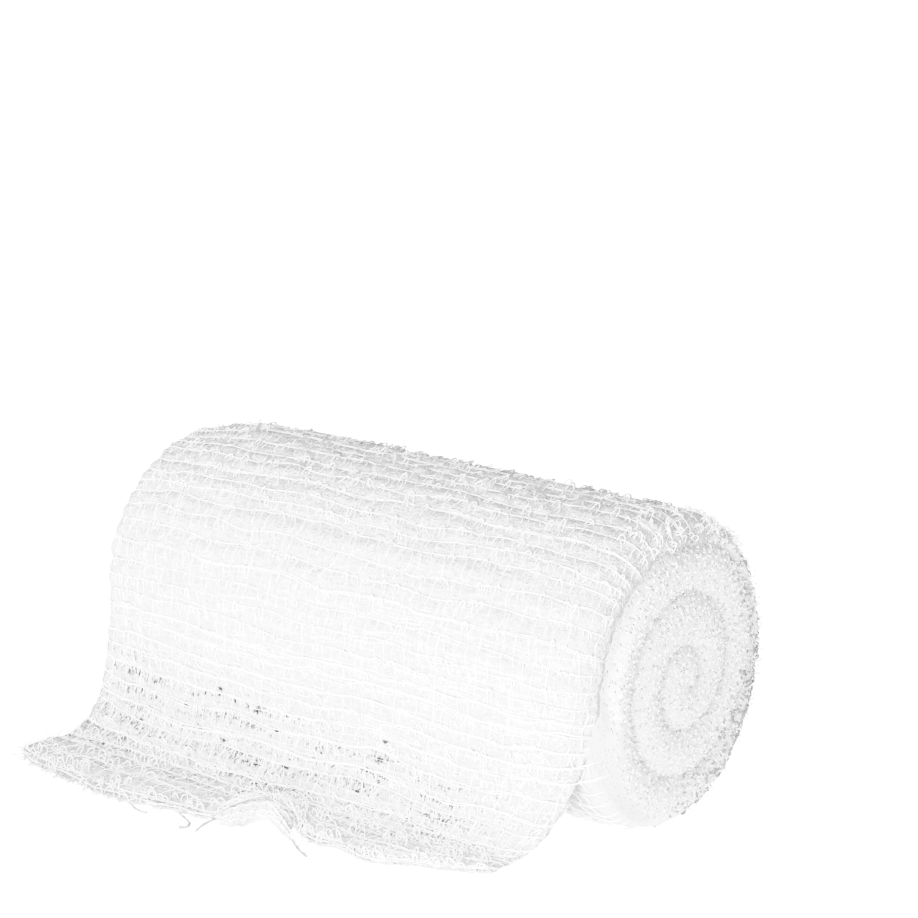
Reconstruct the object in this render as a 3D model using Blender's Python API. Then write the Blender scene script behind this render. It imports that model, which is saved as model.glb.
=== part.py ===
"""Gauze bandage roll, lying on its side, with the free end of the strip hanging down its front.

The roll's axis runs along X. The origin is the middle of the flat spot that the roll rests on, +Z is up, and
the free end lies towards -Y. Angles round the roll are measured from +Y (the back) by way of +Z (the top), so
the front is at 180 degrees. Two solids are made:

    wound_roll   the wound strip, with the spiral of its turns on both ends
    loose_end    the outermost turn, from the foot of the back over the top, down the front and onto the surface

Run it in Blender's text editor or in the background. Lengths are in metres.
"""
import math
from collections import namedtuple

import bmesh
import bpy
from mathutils import Matrix, Vector, noise

MM = 0.001

# The roll
HALF_WIDTH = 57.15 * MM          # half of the strip's cut width, which is the length of the roll
AXIS_HEIGHT = 27.3 * MM          # the roll's axis above the flat spot
CORE_RADIUS = 27.0 * MM          # the turns under the loose one
SHOULDER = 4.0 * MM              # rounding between the roll's side and its ends
FAR_TAPER = 2.3 * MM             # how much the far end is drawn in
FAR_TAPER_LENGTH = 24.0 * MM     # the stretch over which it is drawn in
FACE_BULGE = 1.6 * MM            # the middle of each end stands out by this

# The loose turn
SHEET_THICKNESS = 1.4 * MM
SHEET_GAP = 0.3 * MM             # clearance between the loose turn and what it lies on
SEAM_ANGLE = math.radians(-50)   # the loose turn starts here, at the foot of the back
SEAM_WALL = math.radians(0.4)     # the roll steps down to its covered turns over this
SEAM_CLEARANCE = math.radians(1.0)
SEAM_STEP = SHEET_THICKNESS + SHEET_GAP
LEAVE_ANGLE = math.radians(180)  # the strip leaves the roll here, at the front
UPPER_HANDLE = 0.25              # height of the hang's upper handle, as a share of where it starts
LOWER_HANDLE = 0.1               # place of its lower handle, as a share of the way out to the surface
LAND_SHARE = 0.6                 # share of the sideways drift, hang to edge, done where it meets the surface

# Creases of the crinkled gauze, which run along the roll
CREASE_PITCH = 7.2 * MM
CREASE_DEPTH = 0.7 * MM
CREASE_WANDER = 3.4              # how far, in radians of the wave, a crease strays from a straight line

# The spiral of the turns, as it shows on the two ends
SPIRAL_PITCH = 9.0 * MM          # turns lie in bundles this thick
SPIRAL_DEPTH = 1.9 * MM          # depth of the grooves between the bundles
SPIRAL_WANDER = 1.5 * MM         # the spiral sits off centre by this
NEAR_SPIRAL_START = 12.5 * MM    # radius of the groove at the back of the near end, angle 0
FAR_SPIRAL_START = 10.0 * MM

# Mesh density
TURN_STEPS = 88                  # round the roll
FACE_RINGS = 12                  # between the middle and the shoulder of an end
SHOULDER_RINGS = 4
SIDE_RINGS = 13
LAP_ROWS = 58                    # rows of the loose turn where it lies on the roll
HANG_ROWS = 20                   # where it hangs
FLOOR_ROWS = 10                  # where it lies on the surface

# Sections across the loose end, from the far selvedge to the near one, in millimetres.
# across: place across the strip on the roll           hang_x: the same, half-way down the front
# land_y, wave_z: where the strip meets the surface, and its rise between there and the cut edge
# edge_x, edge_y, edge_z: underside of the cut edge
Section = namedtuple("Section", "across hang_x land_y wave_z edge_x edge_y edge_z")
SECTIONS = (
    Section(-56.4, -55.4, -34.0, 0.3, -58.2, -49.7, 1.0),
    Section(-50.0, -49.6, -34.5, 0.0, -52.0, -51.8, 0.4),
    Section(-43.0, -42.8, -35.5, 0.9, -43.6, -51.2, 0.0),
    Section(-35.5, -35.5, -36.0, 0.0, -36.2, -53.0, 0.5),
    Section(-28.0, -28.0, -36.5, 1.6, -28.6, -54.4, 1.0),
    Section(-21.0, -21.0, -35.5, 0.4, -20.6, -52.3, 0.2),
    Section(-15.0, -15.0, -35.0, 0.0, -14.0, -52.4, 0.8),
    Section(-10.0, -10.0, -34.5, 0.6, -9.6, -50.0, 2.0),
    Section(-5.5, -5.5, -34.0, 0.9, -5.4, -46.6, 3.4),
    Section(-1.0, -1.0, -33.5, 0.8, -1.4, -43.2, 3.6),
    Section(4.0, 3.9, -33.5, 0.3, 3.6, -43.0, 2.0),
    Section(8.5, 8.3, -34.0, 0.0, 8.2, -46.6, 0.5),
    Section(13.5, 13.1, -34.5, 0.8, 12.8, -49.4, 0.0),
    Section(21.0, 20.2, -35.0, 0.2, 18.4, -46.6, 0.7),
    Section(29.0, 27.6, -35.0, 1.6, 24.8, -47.2, 0.3),
    Section(38.0, 35.7, -34.0, 0.3, 31.4, -43.0, 0.0),
    Section(47.5, 43.4, -33.0, 0.9, 36.6, -41.4, 0.9),
    Section(55.4, 49.8, -31.0, 0.2, 40.8, -36.4, 0.3),
)


def clear_scene():
    for item in list(bpy.data.objects):
        bpy.data.objects.remove(item, do_unlink=True)


def gauze(name, colour, roughness):
    material = bpy.data.materials.new(name)
    material.use_nodes = True
    shader = material.node_tree.nodes["Principled BSDF"]
    shader.inputs["Base Color"].default_value = (*colour, 1.0)
    shader.inputs["Roughness"].default_value = roughness
    shader.inputs["Metallic"].default_value = 0.0
    return material


def add_object(name, bm, material):
    mesh = bpy.data.meshes.new(name)
    bm.to_mesh(mesh)
    bm.free()
    mesh.materials.append(material)
    mesh.shade_smooth()
    mesh.set_sharp_from_angle(angle=math.radians(50))
    item = bpy.data.objects.new(name, mesh)
    bpy.context.scene.collection.objects.link(item)
    return item


def ease(value):
    """0 below 0, 1 above 1, and a smooth step between."""
    value = min(max(value, 0.0), 1.0)
    return value * value * (3.0 - 2.0 * value)


def far_draw_in(x):
    """How much smaller the radius is at x, near the far end."""
    return FAR_TAPER * ease((-x - HALF_WIDTH + FAR_TAPER_LENGTH) / FAR_TAPER_LENGTH) ** 2


def crease(path, x):
    """Height of the crinkles, 0 or more, at a length along the strip and a place across it."""
    drift = noise.noise(Vector((x / (28 * MM), path / (30 * MM), 3.1)))
    swell = 0.62 + 0.38 * noise.noise(Vector((x / (17 * MM), path / (9 * MM), 8.7)))
    wave = 0.5 + 0.5 * math.sin(math.tau * path / CREASE_PITCH + CREASE_WANDER * drift)
    return CREASE_DEPTH * swell * wave


def spiral_relief(radius, angle, start, direction):
    """Depth of the spiral groove on an end: 0 on the crown of a bundle, 1 in a groove."""
    wander = SPIRAL_WANDER * math.sin(angle - 2.3) * ease(radius / CORE_RADIUS)
    turn = (radius - start + wander) / SPIRAL_PITCH - direction * angle / math.tau
    crown = abs(math.sin(math.pi * turn)) ** 0.8
    fade = ease(radius / (3 * MM)) * ease((CORE_RADIUS - radius) / (4 * MM))
    return (1.0 - crown) * fade


def roll_profile():
    """Half section of the roll from the far end's middle to the near end's, as points (x, radius)."""
    flat = CORE_RADIUS - SHOULDER
    face = [flat * ring / FACE_RINGS for ring in range(FACE_RINGS)]
    turns = [0.5 * math.pi * ring / SHOULDER_RINGS for ring in range(SHOULDER_RINGS)]
    side_half = HALF_WIDTH - SHOULDER
    shoulder = [(side_half + SHOULDER * math.cos(turn), flat + SHOULDER * math.sin(turn)) for turn in turns]
    side = [(-side_half + 2.0 * side_half * ring / SIDE_RINGS, CORE_RADIUS) for ring in range(SIDE_RINGS + 1)]
    far = [(-HALF_WIDTH, radius) for radius in face] + [(-x, radius) for x, radius in shoulder]
    near = list(reversed(shoulder)) + [(HALF_WIDTH, radius) for radius in reversed(face)]
    return far + side + near


def bared_share(angle):
    """0 where the loose turn covers the roll, growing to 1 from the front under the roll to the seam."""
    turned = (angle - SEAM_ANGLE) % math.tau
    covered = LEAVE_ANGLE - SEAM_ANGLE
    return max(turned - covered, 0.0) / (math.tau - covered)


def shape_roll(point):
    """Moves a point of the turned body to its place on the wound roll."""
    x = point.x
    radius = math.hypot(point.y, point.z)
    angle = math.atan2(point.z, point.y)
    side = ease((radius - CORE_RADIUS + SHOULDER) / SHOULDER)
    inside = ease((HALF_WIDTH - abs(x)) / SHOULDER)
    share = bared_share(angle)
    swell = SEAM_STEP * share * inside
    ripple = crease(angle * CORE_RADIUS, x) * ease(5 * share) * inside
    grown = radius * (CORE_RADIUS - far_draw_in(x) + swell) / CORE_RADIUS + side * ripple
    if abs(x) > HALF_WIDTH - SHOULDER:
        near = x > 0
        start, direction = (NEAR_SPIRAL_START, 1) if near else (FAR_SPIRAL_START, -1)
        dome = FACE_BULGE * (1.0 - (radius / CORE_RADIUS) ** 2)
        depth = dome - SPIRAL_DEPTH * spiral_relief(radius, angle, start, direction)
        x += math.copysign(depth * (1.0 - side), x)
    z = AXIS_HEIGHT + grown * math.sin(angle)
    return Vector((x, grown * math.cos(angle), max(z, 0.0)))


def wound_roll(material):
    bm = bmesh.new()
    line = [bm.verts.new((x, radius, 0.0)) for x, radius in roll_profile()]
    edges = [bm.edges.new(pair) for pair in zip(line, line[1:])]
    bmesh.ops.spin(bm, geom=line + edges, cent=(0, 0, 0), axis=(1, 0, 0), angle=math.tau,
                   steps=TURN_STEPS, use_merge=True)
    bmesh.ops.remove_doubles(bm, verts=bm.verts, dist=0.01 * MM)
    set_seam_lines(bm)
    for vert in bm.verts:
        vert.co = shape_roll(vert.co)
    bmesh.ops.recalc_face_normals(bm, faces=bm.faces)
    return add_object("wound_roll", bm, material)


def set_seam_lines(bm):
    """Turns the body so that one line of its points lies just before the seam, and brings the next to it."""
    step = math.tau / TURN_STEPS
    before = SEAM_ANGLE - SEAM_WALL / 2
    bmesh.ops.rotate(bm, verts=bm.verts, cent=(0, 0, 0), matrix=Matrix.Rotation(before, 3, "X"))
    line = [vert for vert in bm.verts if vert.co.yz.length > 0.1 * MM
            and abs(math.atan2(vert.co.z, vert.co.y) - before - step) < 0.1 * step]
    bmesh.ops.rotate(bm, verts=line, cent=(0, 0, 0), matrix=Matrix.Rotation(SEAM_WALL - step, 3, "X"))


def lap_point(x, angle):
    """Underside of the loose turn where it lies on the roll."""
    radius = CORE_RADIUS + SHEET_GAP - far_draw_in(x) + crease(angle * CORE_RADIUS, x)
    return Vector((x, radius * math.cos(angle), AXIS_HEIGHT + radius * math.sin(angle)))


def hang_points(start, hang_x, land):
    """Underside from where the strip leaves the roll, down and outwards to where it meets the surface."""
    upper = Vector(((start.x + hang_x) / 2, start.y, UPPER_HANDLE * start.z))
    lower = Vector(((land.x + hang_x) / 2, start.y + LOWER_HANDLE * (land.y - start.y), 0.0))
    points = []
    for row in range(HANG_ROWS):
        t = row / HANG_ROWS
        point = ((1 - t) ** 3 * start + 3 * t * (1 - t) ** 2 * upper
                 + 3 * t * t * (1 - t) * lower + t ** 3 * land)
        point.y -= crease(point.z + 2 * HALF_WIDTH, hang_x) * ease(4 * t) * (1 - t)
        points.append(point)
    return points


def floor_points(land, wave_z, edge):
    """Underside from where the strip meets the surface to its cut edge."""
    points = []
    for row in range(FLOOR_ROWS + 1):
        t = row / FLOOR_ROWS
        point = land.lerp(edge, t)
        point.z = wave_z * math.sin(math.pi * t) ** 2 + edge.z * t * t
        points.append(point)
    return points


def strip_path(section):
    """Underside of the loose end along one section, from the seam to the cut edge."""
    root = SEAM_ANGLE + SEAM_CLEARANCE
    across = section.across * MM
    lap = [lap_point(across, root + (LEAVE_ANGLE - root) * row / LAP_ROWS) for row in range(LAP_ROWS)]
    land_x = section.hang_x + LAND_SHARE * (section.edge_x - section.hang_x)
    land = Vector((land_x, section.land_y, 0.0)) * MM
    edge = Vector((section.edge_x, section.edge_y, section.edge_z)) * MM
    hang = hang_points(lap_point(across, LEAVE_ANGLE), section.hang_x * MM, land)
    return lap + hang + floor_points(land, section.wave_z * MM, edge)


def loose_end(material):
    paths = [strip_path(section) for section in SECTIONS]
    rows, columns = len(paths[0]), len(paths)
    bm = bmesh.new()
    bmesh.ops.create_grid(bm, x_segments=rows - 1, y_segments=columns - 1, size=1.0)
    for vert in bm.verts:
        row = round((vert.co.x + 1.0) / 2.0 * (rows - 1))
        column = round((vert.co.y + 1.0) / 2.0 * (columns - 1))
        vert.co = paths[column][row]
    item = add_object("loose_end", bm, material)
    shell = item.modifiers.new("thickness", "SOLIDIFY")
    shell.thickness = SHEET_THICKNESS
    shell.offset = 1.0
    shell.use_even_offset = True
    return item


clear_scene()
wound_roll(gauze("wound_gauze", (0.93, 0.93, 0.92), 0.92))
loose_end(gauze("loose_gauze", (0.95, 0.95, 0.94), 0.90))
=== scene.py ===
import math
from collections import namedtuple
from itertools import chain

import bmesh
import bpy
import numpy as np
from mathutils import Matrix, Vector, noise


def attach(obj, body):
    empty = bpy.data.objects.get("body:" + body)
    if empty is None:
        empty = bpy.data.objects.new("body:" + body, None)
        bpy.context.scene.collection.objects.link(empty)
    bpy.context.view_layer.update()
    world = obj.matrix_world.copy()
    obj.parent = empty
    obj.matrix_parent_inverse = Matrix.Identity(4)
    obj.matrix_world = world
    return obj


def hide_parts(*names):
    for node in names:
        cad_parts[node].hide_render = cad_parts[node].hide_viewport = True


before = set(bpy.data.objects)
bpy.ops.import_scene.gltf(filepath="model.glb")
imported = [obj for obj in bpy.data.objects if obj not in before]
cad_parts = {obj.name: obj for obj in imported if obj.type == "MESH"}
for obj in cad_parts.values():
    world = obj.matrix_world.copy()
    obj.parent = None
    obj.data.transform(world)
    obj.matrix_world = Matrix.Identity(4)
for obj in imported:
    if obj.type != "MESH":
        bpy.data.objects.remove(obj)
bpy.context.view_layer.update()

# Gauze bandage roll on its side, its free end hanging down the front and spread on the floor.
#
# The strip is followed from under the front of the roll, round the bottom and the back, over the top, down
# the front and onto the floor. A place on it is given by its length along the strip from the seam at the
# foot of the back, and by its place across. On a soft ground of packed plies lie the yarns of the open
# outer ply: wefts across the strip in bunches, warps along it, and the small loops that the overtwisted
# warps throw up. Both ends of the roll show the turned selvedges of all its turns as rows of small curls,
# in a spiral.

MM = 0.001
BODY = "root"

# The roll and the strip, as in the part
HALF_WIDTH = 57.15 * MM
AXIS_HEIGHT = 27.3 * MM
CORE_RADIUS = 27.0 * MM
FAR_TAPER = 2.3 * MM
FAR_TAPER_LENGTH = 24.0 * MM
FACE_BULGE = 1.6 * MM
SHEET_GAP = 0.3 * MM
SEAM_ANGLE = math.radians(-50)
LEAVE_ANGLE = math.radians(180)
UPPER_HANDLE = 0.25
LOWER_HANDLE = 0.36
LAND_SHARE = 0.6
CREASE_PITCH = 7.2 * MM
CREASE_DEPTH = 0.5 * MM
CREASE_WANDER = 3.4
SPIRAL_PITCH = 9.0 * MM
SPIRAL_DEPTH = 1.9 * MM
SPIRAL_WANDER = 1.5 * MM
NEAR_SPIRAL_START = 12.5 * MM
FAR_SPIRAL_START = 10.0 * MM

Section = namedtuple("Section", "across hang_x land_y wave_z edge_x edge_y edge_z")
SECTIONS = (
    Section(-56.4, -57.2, -37.5, 0.4, -58.0, -50.6, 1.0),
    Section(-50.0, -50.3, -37.5, 0.0, -51.2, -52.2, 0.4),
    Section(-43.0, -43.0, -38.0, 0.9, -43.8, -52.9, 0.0),
    Section(-35.5, -35.5, -38.5, 0.0, -36.4, -53.9, 0.4),
    Section(-28.0, -28.0, -38.5, 1.4, -28.6, -55.2, 0.5),
    Section(-21.0, -21.0, -38.0, 0.4, -20.8, -52.4, 0.2),
    Section(-16.0, -16.0, -37.5, 0.0, -15.4, -52.2, 0.5),
    Section(-12.0, -12.0, -37.2, 0.3, -11.1, -51.7, 0.4),
    Section(-9.0, -9.0, -37.0, 0.7, -7.8, -51.2, 0.5),
    Section(-7.0, -7.0, -36.8, 0.9, -6.6, -48.4, 1.8),
    Section(-5.0, -5.0, -36.5, 0.9, -5.0, -46.4, 3.0),
    Section(-1.0, -1.0, -36.0, 0.8, -1.6, -43.2, 3.6),
    Section(4.0, 3.6, -36.0, 0.3, 3.4, -43.0, 2.0),
    Section(8.5, 7.8, -36.5, 0.0, 7.6, -46.2, 0.5),
    Section(13.5, 12.4, -37.0, 0.8, 11.8, -47.6, 0.0),
    Section(21.0, 19.2, -37.0, 0.2, 18.4, -46.6, 0.3),
    Section(29.0, 25.9, -37.0, 1.4, 25.0, -47.9, 0.0),
    Section(38.0, 32.8, -36.0, 0.3, 31.4, -43.6, 0.0),
    Section(47.5, 39.6, -35.0, 0.9, 38.2, -42.2, 0.2),
    Section(55.4, 44.7, -33.0, 0.2, 44.2, -38.0, 0.1),
)

# The camera, fitted to the outlines in the photo
CAMERA_PLACE = (0.2947, -0.3747, 0.1910)
CAMERA_WAY = (-0.5851, 0.7645, -0.2706)
FOCAL_PIXELS = 2700
PICTURE_PIXELS = 918
SENSOR_WIDTH = 36.0               # in millimetres, as the camera's lens is

# The ground of packed plies, and how finely it is meshed
GROUND = 0.7 * MM                 # thickness of the ground
START_ANGLE = math.radians(-205)  # the outer ply is followed from here, under the front
WRAP_ROWS = 366
HANG_ROWS = 70
FLOOR_ROWS = 44
COLUMNS = 122

# The rounded rims. In front the strip is drawn down over the near one
RIM = 4.0 * MM
DRAWN_RIM = 8.0 * MM
FAR_RIM = 2.0 * MM                # the far selvedge of the strip turns down this sharply
RIM_DRAWN_FROM = math.radians(50)
RIM_DRAWN_TO = math.radians(230)
RIM_CHANGE = math.radians(45)

# The open outer ply
WEFT_PITCH = 3.1 * MM
WIDER_WEFTS = (0.5, 1.1, 1.2, 1.2, 1.2, 1.1)  # the last pitches before the cut edge, drawn wider
WEFT_STEP = 1.2 * MM              # spacing of a weft's points
WARP_PITCH = 2.3 * MM
WARP_STEPS = 5                    # points of a warp between two wefts
YARN = 0.27 * MM                  # thickness of a weft strand, and of the other yarns
THIN_YARN = 0.22 * MM
FINE_YARN = 0.15 * MM
LOOP_YARN = 0.24 * MM
KNOT_YARN = 0.26 * MM
CURL_YARN = 0.3 * MM
FRINGE_YARN = 0.25 * MM
EDGE_THREAD = 0.5 * MM
HAIR = 0.09 * MM
TOP_SLANT = 0.36                  # how far the warps lean towards the near end on top of the roll
PUFF = 0.6 * MM                   # how far the ground swells between two wefts
GROUND_WALL = 0.5 * MM
HOLE_SHARE = 0.05                 # share of faces beside a weft that are holes where the plies are most open
NEAR_TUCK = 0.95 * MM
FAR_TUCK = 0.7 * MM
SUNK_YARNS = 1.3 * MM             # how deep yarns sink where the cloth is pressed
LOWEST_YARN = 0.12 * MM           # above the floor
FRINGE_ENDS = 120                 # how many there are
CREST_LOOPS = 120
RIM_LOOPS = 60
LINT_HAIRS = 700
RIM_KNOTS = 130
END_SPECKS = 230


def ease(value):
    value = np.clip(value, 0.0, 1.0)
    return value * value * (3.0 - 2.0 * value)


def towards_edge(across, start, run):
    """Growing from 0 to 1 towards a selvedge: from this many millimetres inside it, over a run of so many."""
    return ease((across - HALF_WIDTH + start * MM) / (run * MM))


def hump(value, middle, half):
    """1 at the middle, falling softly to 0 half a hump away from it."""
    return ease(1 - np.abs(value - middle) / half)


def noise_at(*coords):
    """Smooth noise, about -0.8 to 0.8, at points given by arrays or numbers of the same shape."""
    arrays = np.broadcast_arrays(*coords)
    flat = np.stack([array.ravel() for array in arrays], axis=1)
    values = np.array([noise.noise(Vector(point)) for point in flat])
    return values.reshape(arrays[0].shape)


def patches(first, first_size, second, second_size, seed):
    """Smooth noise over two lengths, with patches about so many millimetres large along each."""
    return noise_at(first / (first_size * MM), second / (second_size * MM), seed)


def xyz(x, y, z):
    return np.stack(np.broadcast_arrays(x, y, z), axis=-1)


def round_axis(x, radius, angle, lowest=-1.0):
    """Points by their place along the roll's axis, their distance from it and their angle round it."""
    return xyz(x, radius * np.cos(angle), np.maximum(AXIS_HEIGHT + radius * np.sin(angle), lowest))


# ---------------------------------------------------------------- the strip's shape

def far_draw_in(x):
    return FAR_TAPER * ease((-x - HALF_WIDTH + FAR_TAPER_LENGTH) / FAR_TAPER_LENGTH) ** 2


def crease(path, x):
    drift = patches(x, 28, path, 30, 3.1)
    swell = 0.62 + 0.38 * patches(x, 17, path, 9, 8.7)
    wave = 0.5 + 0.5 * np.sin(math.tau * path / CREASE_PITCH + CREASE_WANDER * drift)
    return CREASE_DEPTH * swell * wave


def bared_share(angle):
    """0 where the strip comes out from under the front, growing to 1 at the seam and staying there."""
    covered = LEAVE_ANGLE - SEAM_ANGLE - math.tau
    return np.clip((angle - SEAM_ANGLE - covered) / -covered, 0.0, 1.0)


def rim_radius(angle):
    """Radius of the near rim: soft in front, tighter at the back and below."""
    turned = np.mod(angle, math.tau)
    drawn = ease((turned - RIM_DRAWN_FROM) / RIM_CHANGE) * ease((RIM_DRAWN_TO - turned) / RIM_CHANGE)
    return RIM + (DRAWN_RIM - RIM) * drawn


def wrap_points(across, angle):
    """Underside of the strip where it goes round the roll."""
    share = bared_share(angle)
    base = CORE_RADIUS - GROUND + (GROUND + SHEET_GAP) * share
    radius = base - far_draw_in(across) + crease(angle * CORE_RADIUS, across) * ease(5 * share)
    rim = rim_radius(angle)
    near = np.maximum(across - HALF_WIDTH + rim, 0.0) / rim
    far = np.maximum(-across - HALF_WIDTH + FAR_RIM, 0.0) / FAR_RIM
    x = across - rim * (near - np.sin(near)) + FAR_RIM * (far - np.sin(far))
    return round_axis(x, radius - rim * (1.0 - np.cos(near)) - FAR_RIM * (1.0 - np.cos(far)), angle)


def smooth_column(name, across):
    """A column of the table of sections, in metres, at places across the strip, with its corners rounded."""
    known = np.array([getattr(section, name) for section in SECTIONS]) * MM
    places = np.array([section.across for section in SECTIONS]) * MM
    low, high = places[0], places[-1]
    across = np.interp(across, [-HALF_WIDTH, -45 * MM, 45 * MM, HALF_WIDTH], [low, -45 * MM, 45 * MM, high])
    offsets = np.linspace(-2.2, 2.2, 9) * MM
    weights = 1.0 - np.abs(np.linspace(-0.9, 0.9, 9))
    total = sum(weight * np.interp(np.clip(across + offset, low, high), places, known)
                for offset, weight in zip(offsets, weights))
    blurred = total / weights.sum()
    edge = ease(np.minimum(across - low, high - across) / (4 * MM))
    return edge * blurred + (1 - edge) * np.interp(across, places, known)


def bezier(t, start, upper, lower, land):
    t = t[:, None, None]
    return (1 - t) ** 3 * start + 3 * t * (1 - t) ** 2 * upper + 3 * t * t * (1 - t) * lower + t ** 3 * land


def strip_surface():
    """Underside of the strip as rows along it by columns across it, with its outward normals."""
    across = np.linspace(-HALF_WIDTH, HALF_WIDTH, COLUMNS)
    column = {name: smooth_column(name, across) for name in Section._fields}
    angles = np.linspace(START_ANGLE, LEAVE_ANGLE, WRAP_ROWS, endpoint=False)
    wrap = wrap_points(across[None, :], angles[:, None])
    start = wrap_points(across, np.full(COLUMNS, LEAVE_ANGLE))
    hang_x = column["hang_x"]
    land_x = hang_x + LAND_SHARE * (column["edge_x"] - hang_x)
    land = xyz(land_x, column["land_y"], 0.0)
    upper = xyz((start[:, 0] + hang_x) / 2, start[:, 1], UPPER_HANDLE * start[:, 2])
    lower = xyz((land_x + hang_x) / 2, start[:, 1] + LOWER_HANDLE * (land[:, 1] - start[:, 1]), 0.0)
    t = np.arange(HANG_ROWS) / HANG_ROWS
    hang = bezier(t, start, upper, lower, land)
    fall = crease(hang[..., 2] + 2 * HALF_WIDTH, np.broadcast_to(hang_x, hang.shape[:2]))
    hang[..., 1] -= fall * (ease(4 * t) * (1 - t))[:, None]
    t = (np.arange(FLOOR_ROWS + 1) / FLOOR_ROWS)[:, None]
    edge = xyz(column["edge_x"], column["edge_y"], 0.0)
    floor = land[None] * (1 - t[..., None]) + edge[None] * t[..., None]
    floor[..., 2] = column["wave_z"] * np.sin(math.pi * t) ** 2 + column["edge_z"] * t * t
    under = np.concatenate([wrap, hang, floor])
    along = np.gradient(under, axis=0)
    sideways = np.gradient(under, axis=1)
    normal = np.cross(along, sideways)
    normal /= np.linalg.norm(normal, axis=-1, keepdims=True)
    middle = under[:, 8:-12]
    step = np.linalg.norm(np.diff(middle, axis=0), axis=-1).mean(axis=1)
    length = np.concatenate([[0.0], np.cumsum(step)])
    seam = np.interp(SEAM_ANGLE, angles, length[:WRAP_ROWS])
    return across, length - seam, under, normal


ACROSS, LENGTH, UNDER, NORMAL = strip_surface()
SEAM_ROW = int(np.searchsorted(LENGTH, 0.0))
LEAVE_LENGTH = LENGTH[WRAP_ROWS]
LAND_LENGTH = LENGTH[WRAP_ROWS + HANG_ROWS]
CUT_LENGTH = LENGTH[-1]


def on_strip(length, across):
    """The nearest place on the strip."""
    return np.clip(length, LENGTH[0], CUT_LENGTH), np.clip(across, ACROSS[0], ACROSS[-1])


def sample(grid, length, across):
    """A grid of the strip read at lengths along it and places across it, and carried on past its edges."""
    row = np.interp(length, LENGTH, np.arange(len(LENGTH)))
    row = row + np.maximum(length - LENGTH[-1], 0) / (LENGTH[-1] - LENGTH[-2])
    column = (across - ACROSS[0]) / (ACROSS[1] - ACROSS[0])
    row0 = np.clip(np.floor(row), 0, len(LENGTH) - 2).astype(int)
    column0 = np.clip(np.floor(column), 0, len(ACROSS) - 2).astype(int)
    down, side = (row - row0)[..., None], (column - column0)[..., None]
    top = grid[row0, column0] * (1 - side) + grid[row0, column0 + 1] * side
    low = grid[row0 + 1, column0] * (1 - side) + grid[row0 + 1, column0 + 1] * side
    return top * (1 - down) + low * down


def tucked(length, across):
    """How far the strip sinks along its selvedges, where they are pressed into the ends of the roll."""
    wound = 1.0 - ease((length - LEAVE_LENGTH) / (9 * MM))
    return wound * (NEAR_TUCK * towards_edge(across, 4.6, 4.6) + FAR_TUCK * towards_edge(-across, 1.6, 1.6))


def place(length, across, lift):
    """Points at a height over the ground of the strip, before it swells."""
    length, across, lift = np.broadcast_arrays(length, across, lift)
    above = GROUND + lift - tucked(length, across)
    points = sample(UNDER, length, across) + sample(NORMAL, *on_strip(length, across)) * above[..., None]
    points[..., 2] = np.maximum(points[..., 2], LOWEST_YARN)
    return points


# ---------------------------------------------------------------- where the wefts lie

def weft_lengths(rng):
    """Where the wefts cross the middle of the strip, the last one at the cut edge."""
    steps = WEFT_PITCH * rng.uniform(0.8, 1.2, 200)
    steps[:len(WIDER_WEFTS)] *= WIDER_WEFTS
    back = CUT_LENGTH - 0.6 * MM - np.concatenate([[0.0], np.cumsum(steps)])
    return back[back > LENGTH[0] + 1 * MM][::-1]


def weft_line(index, across):
    """Length along the strip of a weft at places across it. Neighbours stray together, and apart a little."""
    middle = WEFTS[index]
    common = 1.7 * MM * patches(across, 24, middle, 11, 5.0)
    own = 0.8 * MM * noise_at(across / (9 * MM), index * 3.7, 1.0)
    fine = 0.26 * MM * noise_at(across / (2.4 * MM), index * 5.3, 9.0)
    held = 0.25 + 0.75 * ease((CUT_LENGTH - middle) / (8 * MM))
    frayed = 0.9 * MM * noise_at(across / (4.5 * MM), index * 2.3, 31.0) * (index == len(WEFTS) - 1)
    return middle + (common + own + fine) * held + frayed


def smoothed(length, across):
    """Along the near selvedge of the turn beneath, which shows in front, the yarns are sunk in the cloth."""
    deep = SUNK_YARNS + 4.5 * MM * towards_edge(across, 10, 5)
    return deep * ease((-52.5 * MM - length) / (3 * MM)) * towards_edge(across, 18, 3)


def weft_height(length, across):
    """Wefts rise and sink a little, between and over the warps."""
    wave = 0.16 * MM * patches(across, 2.3, length, 2, 21.0)
    return 0.36 * MM + wave - smoothed(length, across)


def between_wefts():
    """Where the grid of the strip lies from one weft, 0, to the next, 1, and how far apart these two are."""
    lines = np.stack([weft_line(index, ACROSS) for index in range(len(WEFTS))])
    lines = np.maximum.accumulate(lines, axis=0)
    share, gap = np.zeros((2, len(LENGTH), COLUMNS))
    for column in range(COLUMNS):
        line = np.concatenate([[lines[0, column] - WEFT_PITCH], lines[:, column], [CUT_LENGTH + WEFT_PITCH]])
        after = np.clip(np.searchsorted(line, LENGTH), 1, len(line) - 1)
        gap[:, column] = np.maximum(line[after] - line[after - 1], 0.2 * MM)
        share[:, column] = np.clip((LENGTH - line[after - 1]) / gap[:, column], 0.0, 1.0)
    return share, gap


def swelling():
    """Relief of the ground on the grid of the strip: drawn in at the wefts and puffed out between them."""
    puff = np.sin(math.pi * SHARE) ** 0.75 * np.minimum(GAP / WEFT_PITCH, 1.25)
    length, across = np.meshgrid(LENGTH, ACROSS, indexing="ij")
    size = 0.8 + 0.55 * patches(across, 5, length, 3, 14.0)
    size = size * (1.0 - 0.85 * towards_edge(across, 8, 6))
    drawn_apart = ease((length - LEAVE_LENGTH - 4 * MM) / (9 * MM))
    on_top = hump(length, CREST_LENGTH, 26 * MM)
    lumps = (0.1 + 0.2 * drawn_apart) * MM * patches(across, 1.3, length, 1.1, 41.0)
    knobs = 0.9 * MM * on_top * patches(across, 2.6, length, 1.9, 47.0)
    return PUFF * puff * size + lumps + knobs


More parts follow.
